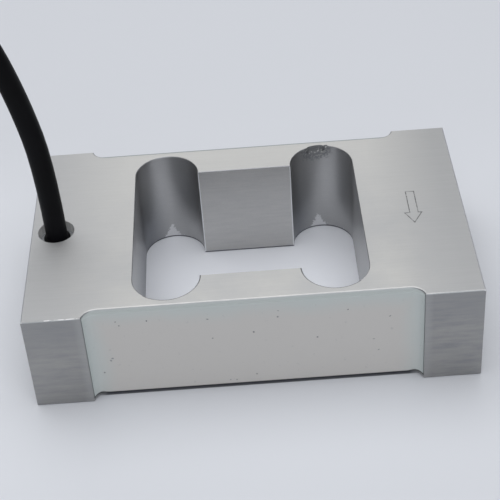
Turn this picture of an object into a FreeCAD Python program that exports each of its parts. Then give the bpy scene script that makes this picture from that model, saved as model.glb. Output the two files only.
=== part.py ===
"""Single point load cell: a one-piece aluminium beam with four bonded strain gauges.

The block lies on one of its broad flanks, as on a bench. X runs along its length,
Y across its depth, which is the direction of the load, and Z up through its thickness.
The origin is at the middle of the underside. Lengths are in millimetres.
"""
import FreeCAD, Part
import math
import os

V = FreeCAD.Vector
X_AXIS = V(1, 0, 0)
Y_AXIS = V(0, 1, 0)
Z_AXIS = V(0, 0, 1)

# Block
length = 120.0
depth = 75.0
thickness = 30.0
edge_break = 0.3

# Recesses along the two long sides, milled between the end pads
pad_length = 15.5
recess_depth = 3.1
recess_corner_radius = 4.0

# Window through the thickness: two upright slots joined by a wide middle opening
slot_width = 18.0
slot_spacing = 45.0
flexure_thickness = 2.1
window_height = 46.6
window_edge_break = 0.15

# Groove and nick ground into one slot's rim, where the corner error was trimmed
trim_groove_radius = 1.7
trim_groove_bite = 0.75
trim_groove_drop = 0.9
trim_groove_azimuth = 97.5
trim_groove_sweep = 18.0
trim_nick_radius = 0.6
trim_nick_azimuth = 77.0

# Tapped mounting holes in each end face
thread_major_radius = 3.0
tap_drill_radius = 2.5
tap_depth = 15.0
hole_spacing_y = 40.0
hole_spacing_z = 16.0
drill_half_angle = 59.0

# Cable pocket and the two wire bores that lead to it
pocket_radius = 5.0
pocket_depth = 18.0
pocket_inset = 6.85
pocket_edge_break = 0.1
wire_bore_radius = 1.5
wire_bore_mouth_inset = 22.0

# Sealing coat over each recess
coat_thickness = 1.0
coat_rounding = 0.8
coat_upper_inset = 0.3
coat_lower_inset = 0.8
coat_lip = 0.25
coat_step = 0.15

# Strain gauges, one over each flexure: a film that carries a folded foil grid
gauge_length = 11.0
gauge_width = 7.0
backing_thickness = 0.1
foil_thickness = 0.06
grid_length = 5.0
grid_lines = 8
grid_line_width = 0.3
grid_line_gap = 0.22
grid_loop_length = 0.4
tab_length = 1.7
tab_width = 1.4

# Terminal strip at mid-length of each recess
strip_length = 9.0
strip_width = 18.0
strip_thickness = 0.2
terminal_rows = 4
terminal_pitch = 4.2
terminal_size = 2.2
terminal_column_offset = 2.5
copper_thickness = 0.08
solder_radius = 0.9
solder_height = 0.6
tab_solder_radius = 0.5
tab_solder_height = 0.3
solder_sides = 8

# Fine enamelled jumper wires from the gauges to the strips
jumper_radius = 0.1

# Thin wires have a six-sided section and mitred bends
wire_sides = 6

# Trimming resistors: a chip on the front strip and a foil beside it
chip_length = 2.0
chip_width = 1.25
chip_height = 0.4
span_foil_length = 4.0
span_foil_width = 5.0
span_foil_offset = 10.0

# Bridge leads from the strips, through the wire bores, to the splices in the pocket
bridge_lead_radius = 0.3
bridge_lead_pitch = 0.75
bridge_lead_lift = 0.6
inner_lane_offset = 5.0
outer_lane_offset = 7.8
lane_start_inset = 29.0
lane_end_run = 3.0
splice_radius = 0.75
splice_length = 2.4
splice_orbit = 1.6
splice_lead_offset = 0.35
splice_bottom_height = 17.0

# Cable, its conductors and its seal in the pocket
cable_radius = 3.0
jacket_start_height = 20.0
conductor_radius = 0.4
potting_top = 27.0
seal_radius = 3.7
seal_top = 28.5
seal_edge_break = 0.5

# Cable coil, its tie and the stripped end that lies on it
coil_centre_x = -174.0
coil_mid_radius = 32.0
coil_edge_break = 2.2
coil_lead_in = 12.0
tie_thickness = 0.9
tie_width = 5.0
tie_clearance = 0.3
tie_azimuth = 205.0
sleeve_radius = 3.4
sleeve_length = 16.0
sleeve_azimuth = 255.0
lead_radius = 0.6
lead_length = 26.0
lead_offset = 1.1
tinned_length = 5.0
tinned_radius = 0.45
stripped_end_clearance = 3.0

# Share of the shorter run that each arc of a wire or cable takes at its corner
arc_share = 0.45

# Values worked out from the sizes above
half_length = length / 2
half_depth = depth / 2
mid_height = thickness / 2
recess_floor = half_depth - recess_depth
slot_radius = slot_width / 2
slot_x = slot_spacing / 2
slot_end = recess_floor - flexure_thickness
pad_inner_x = half_length - pad_length
pocket_x = -half_length + pocket_inset
wire_bore_x = -half_length + wire_bore_mouth_inset
foil_top = backing_thickness + foil_thickness
copper_top = strip_thickness + copper_thickness
coil_base = tie_thickness + tie_clearance
coil_top = coil_base + 4 * cable_radius
coil_middle = coil_base + 2 * cable_radius
coil_inner = coil_mid_radius - 2 * cable_radius
coil_outer = coil_mid_radius + 2 * cable_radius
coil_outer_turn = coil_mid_radius + cable_radius

# The free cable's route, from inside the pocket to where it meets the coil
cable_route = [
    V(pocket_x, 0, jacket_start_height),
    V(pocket_x, 0, 50),
    V(-56.5, 1, 73.5),
    V(-64, 3.5, 94),
    V(-78.5, 9, 110),
    V(-99.5, 15.5, 113.5),
    V(-118.5, 21.5, 104.5),
    V(-129, 25.5, 86),
    V(-131.5, 28, 64.5),
    V(-133, 30.5, 42.5),
    V(-143.5, 33.5, 26.5),
    V(-161, coil_outer_turn, 17),
]


def wire_of(edges):
    return Part.Wire(Part.__sortEdges__(edges))


def extrude(wire, vector):
    return Part.Face(wire).extrude(vector)


def block(x0, x1, y0, y1, z0, z1):
    """Box between two corners, given in any order."""
    low = V(min(x0, x1), min(y0, y1), min(z0, z1))
    return Part.makeBox(abs(x1 - x0), abs(y1 - y0), abs(z1 - z0), low)


def mirrored_y(shape):
    return shape.mirror(V(0, 0, 0), Y_AXIS)


def arc_edge(centre, radius, start, end, z):
    """Arc in a level plane between two angles in degrees, by way of its middle."""
    points = []
    for angle in (start, (start + end) / 2, end):
        turn = math.radians(angle)
        points.append(V(centre[0] + radius * math.cos(turn), centre[1] + radius * math.sin(turn), z))
    return Part.Arc(*points).toShape()


def line_edge(a, b):
    return Part.LineSegment(a, b).toShape()


def corner_reach(floor, radius, y):
    """Distance along X from a rounded corner's centre to its surface at y."""
    climb = min(y - floor, radius)
    return math.sqrt(radius ** 2 - (radius - climb) ** 2)


def rounded_corner(floor, radius, edge, x_at_edge):
    """Corner of a recess that opens towards +Y, on its right side.

    The arc leaves the floor at y = floor and reaches y = edge at x_at_edge. Returns the
    arc's centre and its angles in degrees at the edge and at the floor.
    """
    reach = corner_reach(floor, radius, edge)
    centre = (x_at_edge - reach, floor + radius)
    return centre, -math.degrees(math.acos(reach / radius)), -90.0


metal_corner = rounded_corner(recess_floor, recess_corner_radius, half_depth, pad_inner_x)


def recess_cutter():
    """Solid that mills the rear recess; it stands proud of the block by the recess's depth."""
    (x, y), edge_angle, floor_angle = metal_corner
    radius = recess_corner_radius
    turn = math.radians(edge_angle)
    edge_x = x + radius * math.cos(turn)
    edge_y = y + radius * math.sin(turn)
    proud = half_depth + recess_depth
    edges = [
        arc_edge((x, y), radius, floor_angle, edge_angle, 0),
        line_edge(V(edge_x, edge_y, 0), V(edge_x, proud, 0)),
        line_edge(V(edge_x, proud, 0), V(-edge_x, proud, 0)),
        line_edge(V(-edge_x, proud, 0), V(-edge_x, edge_y, 0)),
        arc_edge((-x, y), radius, 180 - edge_angle, 180 - floor_angle, 0),
        line_edge(V(-x, recess_floor, 0), V(x, recess_floor, 0)),
    ]
    return extrude(wire_of(edges), V(0, 0, thickness))


def slot(x):
    """Upright slot with round ends."""
    straight = slot_end - slot_radius
    parts = block(x - slot_radius, x + slot_radius, -straight, straight, 0, thickness)
    for y in (-straight, straight):
        parts = parts.fuse(Part.makeCylinder(slot_radius, thickness, V(x, y, 0)))
    return parts.removeSplitter()


def drilled_hole(radius, depth_of_hole, mouth, direction):
    """Blind hole with the cone that a drill leaves."""
    hole = Part.makeCylinder(radius, depth_of_hole, mouth, direction)
    tip = radius / math.tan(math.radians(drill_half_angle))
    cone = Part.makeCone(radius, 0, tip, mouth + direction * depth_of_hole, direction)
    return hole.fuse(cone)


def end_holes(side):
    """Four tapped holes in one end face, each with a small countersink."""
    cutters = []
    inward = V(-side, 0, 0)
    lead = thread_major_radius - tap_drill_radius
    for y in (-hole_spacing_y / 2, hole_spacing_y / 2):
        for dz in (-hole_spacing_z / 2, hole_spacing_z / 2):
            mouth = V(side * half_length, y, mid_height + dz)
            cutters.append(drilled_hole(tap_drill_radius, tap_depth, mouth, inward))
            cutters.append(Part.makeCone(thread_major_radius, tap_drill_radius, lead, mouth, inward))
    return cutters


def trim_spot():
    """Ball-ended groove and a nick beside it, along the rear rim of the right-hand slot."""
    axis = V(slot_x, slot_end - slot_radius, 0)
    orbit = slot_radius + trim_groove_bite - trim_groove_radius
    height = thickness - trim_groove_drop
    start = trim_groove_azimuth - trim_groove_sweep / 2
    section = Part.Wire(Part.makeCircle(trim_groove_radius, axis + V(orbit, 0, height), Y_AXIS))
    groove = Part.Face(section).revolve(axis, Z_AXIS, trim_groove_sweep)
    groove.rotate(axis, Z_AXIS, start)
    balls = [
        (orbit, height, start, trim_groove_radius),
        (orbit, height, start + trim_groove_sweep, trim_groove_radius),
        (slot_radius, thickness, trim_nick_azimuth, trim_nick_radius),
    ]
    bites = [groove]
    for reach, level, azimuth, radius in balls:
        turn = math.radians(azimuth)
        centre = axis + V(reach * math.cos(turn), reach * math.sin(turn), level)
        bites.append(Part.makeSphere(radius, centre))
    return bites


def wire_bore(side):
    """Slanted bore from a recess to the pocket, on the side of +Y or -Y."""
    mouth = V(wire_bore_x, side * (recess_floor + recess_depth), mid_height)
    target = V(pocket_x, 0, mid_height)
    return Part.makeCylinder(wire_bore_radius, mouth.distanceToPoint(target), mouth, target - mouth)


def pocket_cutter():
    return drilled_hole(pocket_radius, pocket_depth, V(pocket_x, 0, thickness), -Z_AXIS)


def pocket_bevel():
    wide = pocket_radius + pocket_edge_break
    return Part.makeCone(wide, pocket_radius, pocket_edge_break, V(pocket_x, 0, thickness), -Z_AXIS)


def load_cell_body():
    body = block(-half_length, half_length, -half_depth, half_depth, 0, thickness)
    rear = recess_cutter()
    body = body.cut(rear).cut(mirrored_y(rear))
    rim = [edge for edge in body.Edges if is_rim(edge)]
    body = body.makeChamfer(edge_break, rim)
    straight_part = block(-slot_x, slot_x, -window_height / 2, window_height / 2, 0, thickness)
    window = slot(-slot_x).fuse(slot(slot_x)).fuse(straight_part).removeSplitter()
    body = body.cut(window)
    rim = [edge for edge in body.Edges if is_rim(edge) and is_inner(edge)]
    body = body.makeChamfer(window_edge_break, rim)
    cutters = [pocket_cutter(), pocket_bevel(), wire_bore(1), wire_bore(-1)]
    cutters += end_holes(1) + end_holes(-1) + trim_spot()
    for cutter in cutters:
        body = body.cut(cutter)
    return body.removeSplitter()


def is_rim(edge):
    """True for edges that lie in the upper or the lower face."""
    box = edge.BoundBox
    flat = box.ZLength < 1e-6
    return flat and (abs(box.ZMin) < 1e-6 or abs(box.ZMin - thickness) < 1e-6)


def is_inner(edge):
    """True for the window's edges, which lie inside the pads and the flexures."""
    box = edge.BoundBox
    within_length = max(-box.XMin, box.XMax) < pad_inner_x
    return within_length and max(-box.YMin, box.YMax) < recess_floor


def coat_section(x, inner, outer, low, high):
    """Upright face at x between two values of y, with its two corners at outer rounded."""
    radius = coat_rounding
    step = radius * (1 - math.sqrt(0.5))
    shoulder = outer - radius
    diagonal = outer - step
    edges = [
        line_edge(V(x, inner, low), V(x, shoulder, low)),
        Part.Arc(V(x, shoulder, low), V(x, diagonal, low + step), V(x, outer, low + radius)).toShape(),
        line_edge(V(x, outer, low + radius), V(x, outer, high - radius)),
        Part.Arc(V(x, outer, high - radius), V(x, diagonal, high - step), V(x, shoulder, high)).toShape(),
        line_edge(V(x, shoulder, high), V(x, inner, high)),
        line_edge(V(x, inner, high), V(x, inner, low)),
    ]
    return Part.Face(wire_of(edges))


def coat_blank():
    """Everything behind the rear coat's outer skin, with its long edges rounded."""
    skin = recess_floor + coat_thickness
    behind = recess_floor - coat_thickness
    edge = half_depth - coat_step
    radius = max(recess_corner_radius - coat_thickness, coat_thickness)
    metal_x = metal_corner[0][0] + corner_reach(recess_floor, recess_corner_radius, edge)
    (x, y), edge_angle, floor_angle = rounded_corner(skin, radius, edge, metal_x - coat_lip)
    low = coat_lower_inset
    high = thickness - coat_upper_inset
    blank = coat_section(-x, behind, skin, low, high).extrude(V(2 * x, 0, 0))
    for side in (1, -1):
        section = coat_section(side * x, behind, skin, low, high)
        sweep = side * (edge_angle - floor_angle)
        blank = blank.fuse(section.revolve(V(side * x, y, 0), Z_AXIS, sweep))
    return blank


def on_recess(side, x0, x1, z0, z1, low, high):
    """Box from low to high above a recess floor; side is 1 at the rear, -1 at the front."""
    return block(x0, x1, side * (recess_floor + low), side * (recess_floor + high), z0, z1)


def recess_point(side, x, z, lift):
    return V(x, side * (recess_floor + lift), z)


def sealing_coat(side, buried):
    coat = coat_blank().common(recess_cutter())
    if side < 0:
        coat = mirrored_y(coat)
    return coat.cut(Part.makeCompound(buried))


def gauge_backing(side, x):
    z0 = mid_height - gauge_width / 2
    z1 = mid_height + gauge_width / 2
    return on_recess(side, x - gauge_length / 2, x + gauge_length / 2, z0, z1, 0, backing_thickness)


def grid_line_centre(line):
    return mid_height + (line - (grid_lines - 1) / 2) * (grid_line_width + grid_line_gap)


def tab_centre(x, line):
    """Middle of the solder tab at the inner end of the first or last grid line."""
    inward = -math.copysign(1, x)
    sideways = math.copysign((tab_width - grid_line_width) / 2, line - 0.5)
    tab_x = x + inward * (grid_length / 2 + tab_length / 2)
    return tab_x, grid_line_centre(line) + sideways


def gauge_grid(side, x):
    """Folded foil: parallel lines along the strain, joined in turn at their two ends."""
    inward = -math.copysign(1, x)
    low, high = backing_thickness, foil_top
    pieces = []
    for line in range(grid_lines):
        z = grid_line_centre(line)
        z0, z1 = z - grid_line_width / 2, z + grid_line_width / 2
        pieces.append(on_recess(side, x - grid_length / 2, x + grid_length / 2, z0, z1, low, high))
        if line + 1 < grid_lines:
            end = inward if line % 2 else -inward
            x0 = x + end * grid_length / 2
            z1 = grid_line_centre(line + 1) + grid_line_width / 2
            pieces.append(on_recess(side, x0, x0 - end * grid_loop_length, z0, z1, low, high))
    for line in (0, grid_lines - 1):
        tab_x, tab_z = tab_centre(x, line)
        x0, x1 = tab_x - tab_length / 2, tab_x + tab_length / 2
        z0, z1 = tab_z - tab_width / 2, tab_z + tab_width / 2
        pieces.append(on_recess(side, x0, x1, z0, z1, low, high))
    return pieces[0].multiFuse(pieces[1:]).removeSplitter()


def terminal(column, row):
    """Centre of one solder terminal; column is -1 or 1, rows count upwards."""
    return column * terminal_column_offset, mid_height + (row - (terminal_rows - 1) / 2) * terminal_pitch


def terminal_strip(side):
    z0 = mid_height - strip_width / 2
    z1 = mid_height + strip_width / 2
    return on_recess(side, -strip_length / 2, strip_length / 2, z0, z1, 0, strip_thickness)


def terminal_pads(side):
    pads = []
    half = terminal_size / 2
    for column in (-1, 1):
        for row in range(terminal_rows):
            x, z = terminal(column, row)
            x0, x1, z0, z1 = x - half, x + half, z - half, z + half
            pads.append(on_recess(side, x0, x1, z0, z1, strip_thickness, copper_top))
    return Part.makeCompound(pads)


def regular_ring(sides, radius, centre, across, up):
    """Closed regular polygon about a centre, in the plane of two unit vectors."""
    corners = []
    for corner in range(sides):
        turn = 2 * math.pi * (corner + 0.5) / sides
        corners.append(centre + across * (radius * math.cos(turn)) + up * (radius * math.sin(turn)))
    return Part.makePolygon(corners + corners[:1])


def solder_cap(side, x, z, base, radius, height):
    """Low cap of solder that narrows to half its width, on the level base above a recess floor."""
    rings = []
    for lift, reach in ((base, radius), (base + height, radius / 2)):
        rings.append(regular_ring(solder_sides, reach, recess_point(side, x, z, lift), X_AXIS, Z_AXIS))
    faces = [Part.Face(ring) for ring in rings]
    lower, upper = ([vertex.Point for vertex in ring.OrderedVertexes] for ring in rings)
    for i in range(solder_sides):
        corners = [lower[i - 1], lower[i], upper[i], upper[i - 1]]
        faces.append(Part.Face(Part.makePolygon(corners + corners[:1])))
    return Part.makeSolid(Part.makeShell(faces))


def solder_joints(side, wires):
    joints = []
    for column in (-1, 1):
        for row in range(terminal_rows):
            x, z = terminal(column, row)
            joints.append(solder_cap(side, x, z, copper_top, solder_radius, solder_height))
    for x in (-slot_x, slot_x):
        for line in (0, grid_lines - 1):
            tab_x, tab_z = tab_centre(x, line)
            joints.append(solder_cap(side, tab_x, tab_z, foil_top, tab_solder_radius, tab_solder_height))
    wiring = Part.makeCompound(wires)
    return Part.makeCompound([joint.cut(wiring) for joint in joints])


def rounded_path(points):
    """Straight runs joined by tangent arcs, with the arcs' radii."""
    edges = []
    radii = []
    start = points[0]
    for before, corner, after in zip(points, points[1:], points[2:]):
        back = (before - corner).normalize()
        ahead = (after - corner).normalize()
        half_turn = (math.pi - back.getAngle(ahead)) / 2
        shorter = min(before.distanceToPoint(corner), corner.distanceToPoint(after))
        reach = arc_share * shorter
        radius = reach / math.tan(half_turn)
        to_arc = corner + back * reach
        from_arc = corner + ahead * reach
        towards_centre = (back + ahead).normalize()
        middle = corner + towards_centre * (radius / math.cos(half_turn) - radius)
        edges.append(line_edge(start, to_arc))
        edges.append(Part.Arc(to_arc, middle, from_arc).toShape())
        radii.append(radius)
        start = from_arc
    edges.append(line_edge(start, points[-1]))
    return Part.Wire(edges), radii


def tube(points, radius):
    path, _ = rounded_path(points)
    ring = Part.makeCircle(radius, points[0], points[1] - points[0])
    return path.makePipeShell([Part.Wire(ring)], True, False)


def thin_wire(points, radius):
    """Six-sided wire with mitred bends; its first run is level or upright."""
    ahead = (points[1] - points[0]).normalize()
    across = ahead.cross(Z_AXIS if abs(ahead.z) < 0.5 else X_AXIS).normalize()
    section = regular_ring(wire_sides, radius, points[0], across, ahead.cross(across))
    return Part.makePolygon(points).makePipeShell([section], True, False, 1)


def jumper_wires(side):
    """Two wires from each gauge to the middle rows of the nearer column of terminals."""
    wires = []
    for column, x in ((-1, -slot_x), (1, slot_x)):
        for line, row in ((0, 1), (grid_lines - 1, 2)):
            tab_x, tab_z = tab_centre(x, line)
            pad_x, pad_z = terminal(column, row)
            start = recess_point(side, tab_x, tab_z, foil_top + jumper_radius)
            end = recess_point(side, pad_x, pad_z, copper_top + jumper_radius)
            bend_x = (tab_x + pad_x) / 2
            bend = recess_point(side, bend_x, tab_z + (pad_z - tab_z) / 4, copper_top + 2 * jumper_radius)
            wires.append(thin_wire([start, bend, end], jumper_radius))
    return Part.makeCompound(wires)


def balance_chip(side):
    z = terminal(1, 0)[1] + terminal_pitch / 2
    z0, z1 = z - chip_width / 2, z + chip_width / 2
    high = strip_thickness + chip_height
    return on_recess(side, -chip_length / 2, chip_length / 2, z0, z1, strip_thickness, high)


def span_foil(side):
    z0, z1 = mid_height - span_foil_width / 2, mid_height + span_foil_width / 2
    x0, x1 = span_foil_offset - span_foil_length / 2, span_foil_offset + span_foil_length / 2
    return on_recess(side, x0, x1, z0, z1, 0, foil_top)


def splice_centre(name):
    """Place of a splice about the pocket's axis."""
    spots = {"red": (-1, 0), "black": (1, 0), "green": (0, -1), "white": (0, 1)}
    dx, dy = spots[name]
    return pocket_x + dx * splice_orbit, dy * splice_orbit


def bridge_lead(side, name, level, lane, target):
    """One lead from its splice, along a wire bore and then along the recess to its terminal."""
    x, y = splice_centre(name)
    y += side * splice_lead_offset
    z = mid_height + level * bridge_lead_pitch
    lift = bridge_lead_lift
    axis = V(wire_bore_x - pocket_x, side * (recess_floor + recess_depth), 0).normalize()
    in_pocket = V(pocket_x, 0, z) + axis * (pocket_radius - bridge_lead_radius)
    along = (recess_floor + lift) / abs(axis.y)
    at_mouth = V(pocket_x, 0, z) + axis * along
    lane_z = mid_height + lane
    lane_x = -half_length + lane_start_inset
    pad_x, pad_z = target
    return thin_wire(
        [
            V(x, y, splice_bottom_height),
            V(x, y, z),
            in_pocket,
            at_mouth,
            recess_point(side, lane_x, lane_z, lift),
            recess_point(side, pad_x - lane_end_run, lane_z, lift),
            recess_point(side, pad_x, pad_z, lift),
        ],
        bridge_lead_radius,
    )


def bridge_leads(side):
    signal = "green" if side < 0 else "white"
    top_row = terminal_rows - 1
    leads = [
        bridge_lead(side, "red", -1, -inner_lane_offset, terminal(-1, 0)),
        bridge_lead(side, "black", 1, inner_lane_offset, terminal(-1, top_row)),
        bridge_lead(side, signal, 0, outer_lane_offset, terminal(1, top_row)),
    ]
    return Part.makeCompound(leads)


def splices():
    sleeves = []
    for name in ("red", "black", "green", "white"):
        x, y = splice_centre(name)
        sleeves.append(Part.makeCylinder(splice_radius, splice_length, V(x, y, splice_bottom_height)))
    return Part.makeCompound(sleeves)


def conductor(name):
    """Stub of one cable conductor, from its splice up to the end of the jacket."""
    x, y = splice_centre(name)
    low = splice_bottom_height + splice_length
    return Part.makeCylinder(conductor_radius, jacket_start_height - low, V(x, y, low))


def pocket_potting(buried):
    below = block(-half_length, half_length, -half_depth, half_depth, 0, potting_top)
    start = V(pocket_x, 0, jacket_start_height)
    jacket = Part.makeCylinder(cable_radius, potting_top - jacket_start_height, start)
    return pocket_cutter().common(below).cut(jacket).cut(Part.makeCompound(buried))


def cable_seal():
    height = seal_top - potting_top
    ring = Part.makeCylinder(seal_radius, height, V(pocket_x, 0, potting_top))
    top = [e for e in ring.Edges if abs(e.BoundBox.ZMin - seal_top) < 1e-6 and e.BoundBox.ZLength < 1e-6]
    ring = ring.makeChamfer(seal_edge_break, top)
    return ring.cut(Part.makeCylinder(cable_radius, height, V(pocket_x, 0, potting_top)))


def cable_jacket():
    """Tube along the free cable; prints its arcs' radii, its length and its volume's share."""
    path, radii = rounded_path(cable_route)
    jacket = tube(cable_route, cable_radius)
    print("cable radii", [round(radius, 1) for radius in radii])
    share = jacket.Volume / (math.pi * cable_radius ** 2 * path.Length)
    print("cable length", round(path.Length, 1), "volume share", round(share, 4))
    return jacket


def coil_sector(shape, start, sweep):
    """Revolves a face that stands at azimuth 0 about the coil's axis."""
    axis = V(coil_centre_x, 0, 0)
    shape.rotate(axis, Z_AXIS, start)
    return shape.revolve(axis, Z_AXIS, sweep)


def coil_face(r0, r1, z0, z1):
    x = coil_centre_x
    corners = [V(x + r0, 0, z0), V(x + r1, 0, z0), V(x + r1, 0, z1), V(x + r0, 0, z1)]
    return Part.Face(Part.makePolygon(corners + corners[:1]))


def arc_degrees(run, radius):
    return math.degrees(run / radius)


def sleeve_track():
    """Radius and height of the stripped end's centre line, on the coil's upper inner turn."""
    return coil_mid_radius - sleeve_radius, coil_middle + sleeve_radius


def cable_coil():
    ring = coil_sector(coil_face(coil_inner, coil_outer, coil_base, coil_top), 0, 360)
    ring = ring.makeChamfer(coil_edge_break, ring.Edges)
    run = sleeve_length + lead_length + tinned_length + stripped_end_clearance
    notch = coil_face(coil_inner - cable_radius, coil_mid_radius, coil_middle, coil_top + cable_radius)
    ring = ring.cut(coil_sector(notch, sleeve_azimuth, arc_degrees(run, sleeve_track()[0])))
    heading = (cable_route[-1] - cable_route[-2]).normalize()
    return ring.fuse(Part.makeCylinder(cable_radius, coil_lead_in, cable_route[-1], heading))


def coil_tie():
    low, high = 0, coil_top + tie_clearance + tie_thickness
    inner = coil_inner - tie_clearance
    outer = coil_outer + tie_clearance
    x = coil_centre_x
    half = tie_width / 2
    band = block(x + inner - tie_thickness, x + outer + tie_thickness, -half, half, low, high)
    hole = block(x + inner, x + outer, -half, half, low + tie_thickness, high - tie_thickness)
    band = band.cut(hole)
    band.rotate(V(x, 0, 0), Z_AXIS, tie_azimuth)
    return band


def track_piece(radius, offset_r, offset_z, start, run, sides=0):
    """Piece that follows the stripped end's track, round or with that many sides."""
    track_radius, track_height = sleeve_track()
    centre = V(coil_centre_x + track_radius + offset_r, 0, track_height + offset_z)
    if sides:
        section = regular_ring(sides, radius, centre, X_AXIS, Z_AXIS)
    else:
        section = Part.Wire(Part.makeCircle(radius, centre, Y_AXIS))
    return coil_sector(Part.Face(section), start, arc_degrees(run, track_radius))


def lead_offsets():
    names = ("red", "black", "green", "white")
    corners = ((-1, -1), (1, -1), (-1, 1), (1, 1))
    return {name: (lead_offset * r, lead_offset * z) for name, (r, z) in zip(names, corners)}


def write(name, shape):
    shape.exportStep(f"parts/{name}.step")
    print(name, len(shape.Solids), "solids", shape.isValid(), round(shape.Volume, 3))


def main():
    os.makedirs("parts", exist_ok=True)
    write("load_cell_body", load_cell_body())
    for side, name in ((-1, "front"), (1, "rear")):
        buried = []
        for hand, x in (("left", -slot_x), ("right", slot_x)):
            backing = gauge_backing(side, x)
            grid = gauge_grid(side, x)
            buried += [backing, grid]
            write(f"{name}_{hand}_gauge_backing", backing)
            write(f"{name}_{hand}_gauge_grid", grid)
        jumpers = jumper_wires(side)
        leads = bridge_leads(side)
        strip = terminal_strip(side)
        pads = terminal_pads(side)
        joints = solder_joints(side, [jumpers, leads])
        buried += [strip, pads, joints, jumpers, leads]
        write(f"{name}_terminal_strip", strip)
        write(f"{name}_terminal_pads", pads)
        write(f"{name}_solder_joints", joints)
        write(f"{name}_jumper_wires", jumpers)
        write(f"{name}_bridge_leads", leads)
        if side < 0:
            chip = balance_chip(side)
            foil = span_foil(side)
            buried += [chip, foil]
            write("zero_balance_resistor", chip)
            write("span_compensation_foil", foil)
        write(f"{name}_sealing_coat", sealing_coat(side, buried))

    wiring = [bridge_leads(-1), bridge_leads(1), splices()]
    write("pocket_splices", wiring[-1])
    for name in ("red", "black", "green", "white"):
        stub = conductor(name)
        wiring.append(stub)
        write(f"{name}_conductor", stub)
    write("pocket_potting", pocket_potting(wiring))
    write("cable_seal", cable_seal())
    write("cable_jacket", cable_jacket())
    write("cable_coil", cable_coil())
    write("coil_tie", coil_tie())
    write("cable_end_sleeve", track_piece(sleeve_radius, 0, 0, sleeve_azimuth, sleeve_length))
    after_sleeve = sleeve_azimuth + arc_degrees(sleeve_length, sleeve_track()[0])
    after_leads = after_sleeve + arc_degrees(lead_length, sleeve_track()[0])
    tips = []
    for name, (offset_r, offset_z) in lead_offsets().items():
        offset = (offset_r, offset_z)
        lead = track_piece(lead_radius, *offset, after_sleeve, lead_length, wire_sides)
        write(f"{name}_lead_end", lead)
        tips.append(track_piece(tinned_radius, *offset, after_leads, tinned_length, wire_sides))
    write("tinned_lead_tips", Part.makeCompound(tips))


main()
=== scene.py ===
import logging
import math
from dataclasses import dataclass
from enum import Enum
from functools import partial
from itertools import product
from typing import Any, Callable, Sequence

import bmesh
import bpy
from mathutils import Matrix, Vector


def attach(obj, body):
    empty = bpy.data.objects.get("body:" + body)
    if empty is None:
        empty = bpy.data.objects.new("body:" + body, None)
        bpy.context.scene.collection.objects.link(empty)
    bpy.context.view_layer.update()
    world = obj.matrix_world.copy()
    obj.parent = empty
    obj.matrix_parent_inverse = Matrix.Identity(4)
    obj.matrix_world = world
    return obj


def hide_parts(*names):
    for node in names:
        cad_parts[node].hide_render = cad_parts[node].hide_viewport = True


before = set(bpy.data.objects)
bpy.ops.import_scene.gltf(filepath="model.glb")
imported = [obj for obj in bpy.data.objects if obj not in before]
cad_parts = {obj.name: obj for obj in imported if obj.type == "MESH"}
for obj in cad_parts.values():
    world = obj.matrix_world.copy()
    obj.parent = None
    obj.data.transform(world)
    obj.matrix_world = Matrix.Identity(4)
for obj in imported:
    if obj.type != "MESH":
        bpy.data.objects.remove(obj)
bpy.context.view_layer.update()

# Looks of a single point load cell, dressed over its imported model. X runs along the
# block, Y across its depth and Z up. Lengths are in metres unless a name ends in mm.

MM = 0.001
LOG = logging.getLogger("load_cell")
Pair = tuple[float, float]
Point = tuple[float, float, float]
Mesh, Node, Socket, Tree = bpy.types.Mesh, bpy.types.Node, bpy.types.NodeSocket, bpy.types.NodeTree
Adder = Callable[..., Node]  # add_node with its tree filled in.
MATH, VECTOR, MIX = "ShaderNodeMath", "ShaderNodeVectorMath", "ShaderNodeMix"
RAMP, NOISE, PARTS = "ShaderNodeMapRange", "ShaderNodeTexNoise", "ShaderNodeSeparateXYZ"
BUMP, PRINCIPLED, RANDOM = "ShaderNodeBump", "ShaderNodeBsdfPrincipled", "FunctionNodeRandomValue"


def linear(code: str) -> tuple[float, float, float, float]:
    """Turns an sRGB hex colour to linear light.

    Args:
        code: The colour as "#rrggbb".

    Returns:
        Linear red, green, blue and an alpha of one.
    """
    values = [int(code[i : i + 2], 16) / 255 for i in (1, 3, 5)]
    red, green, blue = (v / 12.92 if v <= 0.04045 else ((v + 0.055) / 1.055) ** 2.4 for v in values)
    return (red, green, blue, 1.0)


def add_node(tree: Tree, kind: str, inputs: Any = (), how: str = "", **settings: Any) -> Node:
    """Adds a node with its settings, values and links.

    Args:
        tree: The node tree it goes into.
        kind: The node's type name.
        inputs: What its inputs take, in order or by name or number: a value, a hex colour,
            a socket to link, or a node, which stands for its first output in use.
        how: The operation, where the node has one.
        **settings: The node's other properties.

    Returns:
        The new node.
    """
    node = tree.nodes.new(kind)
    if how:
        node.operation = how
    for name, value in settings.items():
        setattr(node, name, value)
    for key, value in inputs.items() if isinstance(inputs, dict) else enumerate(inputs):
        if isinstance(value, Node):
            value = next(output for output in value.outputs if output.enabled)
        if isinstance(value, Socket):
            tree.links.new(value, node.inputs[key])
        else:
            is_hex = isinstance(value, str) and value.startswith("#")
            node.inputs[key].default_value = linear(value) if is_hex else value
    return node


@dataclass(frozen=True)
class Surface:
    """What every finish has: a name, and a material that takes its own looks."""

    name: str

    def build(self) -> bpy.types.Material:
        """Builds the material.

        Returns:
            The material, on Object coordinates.
        """
        material = bpy.data.materials.new(self.name)
        material.use_nodes = True
        material.node_tree.nodes.clear()
        add = partial(add_node, material.node_tree)
        add("ShaderNodeOutputMaterial", {"Surface": add(PRINCIPLED, self.looks(add))})
        return material

    def looks(self, add: Adder) -> dict[str, Any]:
        """Adds the nodes of the finish and returns what its shader takes from them."""
        raise NotImplementedError


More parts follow.
